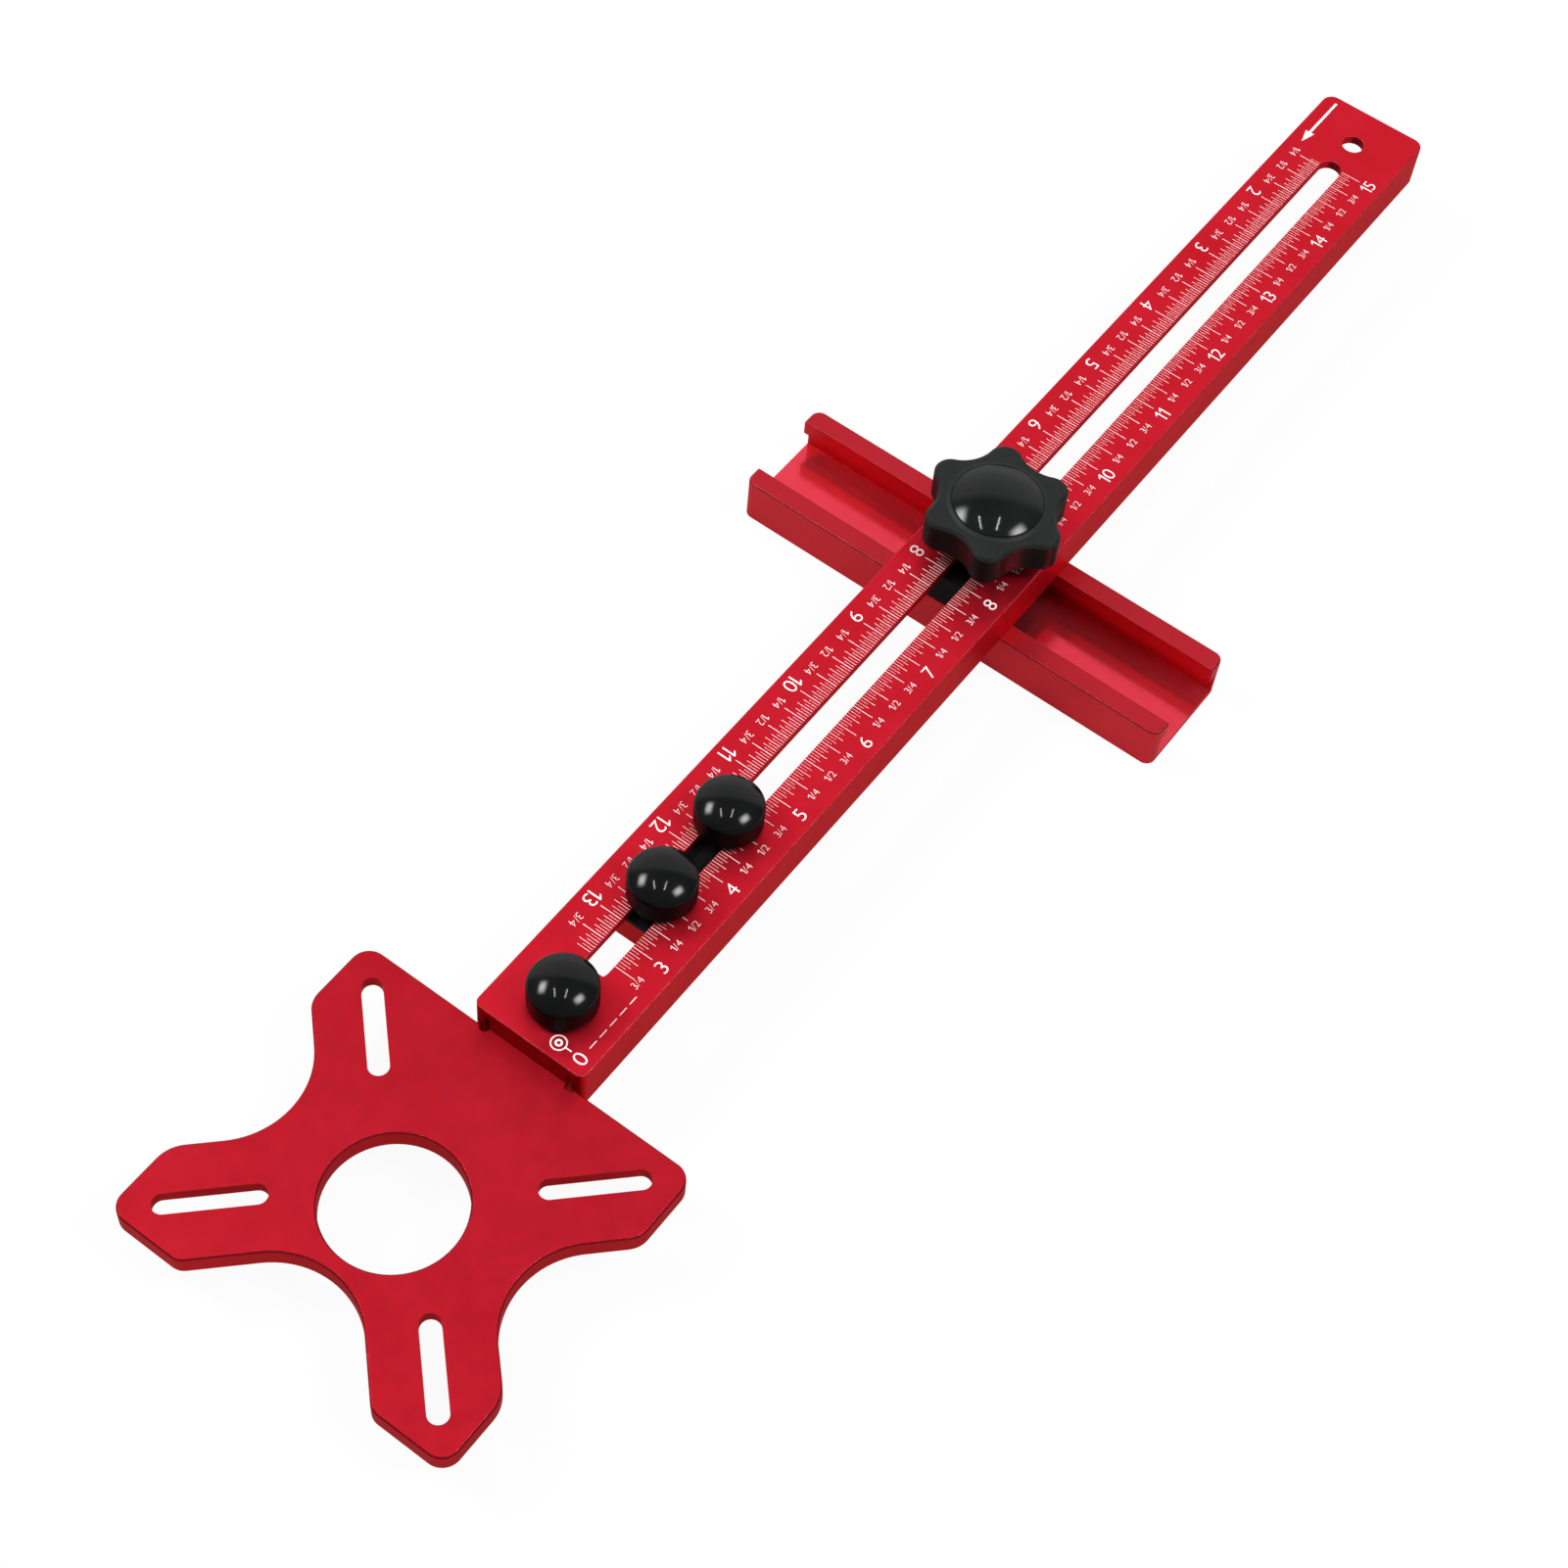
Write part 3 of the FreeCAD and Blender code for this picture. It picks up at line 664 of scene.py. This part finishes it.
def floor(level):
    """Pale ground that stays near white in the view and still shows a faint shadow."""
    data = bpy.data.meshes.new("floor")
    signs = ((-1, -1), (1, -1), (1, 1), (-1, 1))
    corners = [(x * FLOOR_REACH, y * FLOOR_REACH, level) for x, y in signs]
    data.from_pydata(corners, [], [(0, 1, 2, 3)])
    ground = bpy.data.objects.new("floor", data)
    bpy.context.scene.collection.objects.link(ground)
    g = Graph("floor")
    path = g.add("ShaderNodeLightPath")
    seen = g.math("MAXIMUM", path.outputs["Is Camera Ray"], path.outputs["Is Transmission Ray"])
    tone = g.blend(seen, colour(0.45, 0.45, 0.45), colour(0.9, 0.9, 0.9))
    diffuse = g.add("ShaderNodeBsdfDiffuse", {"Color": tone})
    glow = g.add("ShaderNodeEmission", {"Color": colour(1, 1, 1), "Strength": 1.0})
    mirrored = g.times(path.outputs["Is Glossy Ray"], FLOOR_GLOW_MIRRORED)
    share = g.math("MAXIMUM", g.times(seen, FLOOR_GLOW_SEEN), mirrored)
    mix = g.add("ShaderNodeMixShader", {0: share, 1: diffuse.outputs[0], 2: glow.outputs[0]})
    g.tree.links.new(mix.outputs[0], g.output.inputs["Surface"])
    data.materials.append(g.material)


def aim(holder, place, back, up_hint):
    """Put an object at a place so that it looks away from back, with its top towards up_hint."""
    side = up_hint.cross(back).normalized()
    axes = Matrix((side, back.cross(side), back)).transposed()
    holder.matrix_world = Matrix.Translation(place) @ axes.to_4x4()


def lamp(name, towards, width, length, radiance, along, soft=0.0):
    """Rectangular lamp far off in one direction, with its sizes as angles seen from the object.

    Its light fades out over a soft share of each half.
    """
    light = bpy.data.lights.new(name, "AREA")
    light.shape = "RECTANGLE"
    light.size = width * LAMP_DISTANCE
    light.size_y = length * LAMP_DISTANCE
    light.energy = radiance * math.pi * light.size * light.size_y
    if soft:
        light.use_nodes = True
        g = Graph.for_tree(light.node_tree, "ShaderNodeOutputLight")
        across = g.add("ShaderNodeNewGeometry").outputs["Parametric"]
        sides = g.add("ShaderNodeSeparateXYZ", {0: across}).outputs[:2]
        fades = [g.fade(g.math("PINGPONG", side, 0.5), 0.0, soft / 2) for side in sides]
        glow = g.add("ShaderNodeEmission", {"Strength": g.times(*fades)})
        g.tree.links.new(glow.outputs[0], g.output.inputs["Surface"])
    holder = bpy.data.objects.new(name, light)
    bpy.context.scene.collection.objects.link(holder)
    back = towards.normalized()
    aim(holder, LAMP_TARGET + back * LAMP_DISTANCE, back, along)
    holder.visible_camera = False


def studio():
    """Two soft boxes, two thin strips between them, and a room that is bright beyond the object."""
    left, right = Vector((-0.226, 0.637, 0.737)), Vector((0.167, -0.556, 0.815))
    lamp("left_box", left, 0.38, 0.58, BOX_LIGHT, Vector((0.94, 0.35, 0)), BOX_SOFT)
    lamp("right_box", right, 0.36, 0.56, BOX_LIGHT, Vector((0.98, -0.2, 0)), BOX_SOFT)
    lamp("strip_a", Vector((-0.21, 0.20, 0.954)), *STRIP_SIZE, STRIP_LIGHT, Vector((0.77, 0.64, 0)))
    lamp("strip_b", Vector((-0.01, -0.14, 0.988)), *STRIP_SIZE, STRIP_LIGHT, Vector((0.92, 0.40, 0)))

    world = bpy.data.worlds.new("studio")
    bpy.context.scene.world = world
    world.use_nodes = True
    g = Graph.for_tree(world.node_tree, "ShaderNodeOutputWorld")
    towards = g.add("ShaderNodeTexCoord").outputs["Generated"]
    beyond = g.add("ShaderNodeVectorMath", {0: towards, 1: AWAY}, operation="DOT_PRODUCT").outputs["Value"]
    room = g.fade(beyond, 0.40, 0.62, ROOM_DARK, ROOM_BRIGHT)
    seen = g.add("ShaderNodeLightPath").outputs["Is Camera Ray"]
    strength = g.math("MAXIMUM", room, seen)
    glow = g.add("ShaderNodeBackground", {"Color": colour(1, 1, 1), "Strength": strength})
    g.tree.links.new(glow.outputs[0], g.output.inputs["Surface"])


def camera():
    """The camera of the photograph."""
    data = bpy.data.cameras.new("camera")
    data.lens = CAMERA_LENS
    data.sensor_width = CAMERA_SENSOR
    data.clip_start = 0.01
    data.clip_end = 100.0
    holder = bpy.data.objects.new("camera", data)
    bpy.context.scene.collection.objects.link(holder)
    aim(holder, CAMERA_PLACE, -CAMERA_VIEW.normalized(), CAMERA_UP)
    bpy.context.scene.camera = holder


right_place = Matrix.Identity(4)
left_place = Matrix.Translation((LEFT_ZERO, 0, 0)) @ Matrix.Rotation(math.pi, 4, "Z")
printing = [
    scale_ticks(RIGHT_SCALE, right_place),
    scale_numbers(RIGHT_SCALE, right_place, FIRST_LABEL_RISE),
    scale_ticks(LEFT_SCALE, left_place),
    scale_numbers(LEFT_SCALE, left_place, 0.0, LEFT_LAST_LABEL, LEFT_LAST_SHIFT),
    start_mark(),
    end_arrow(),
]
ink_finish = white_ink()
for piece in printing:
    piece.data.materials.clear()
    piece.data.materials.append(ink_finish)
dress_nodes()

floor(cad_bounds[0][2])
studio()
camera()
bpy.context.scene.view_settings.view_transform = "Standard"
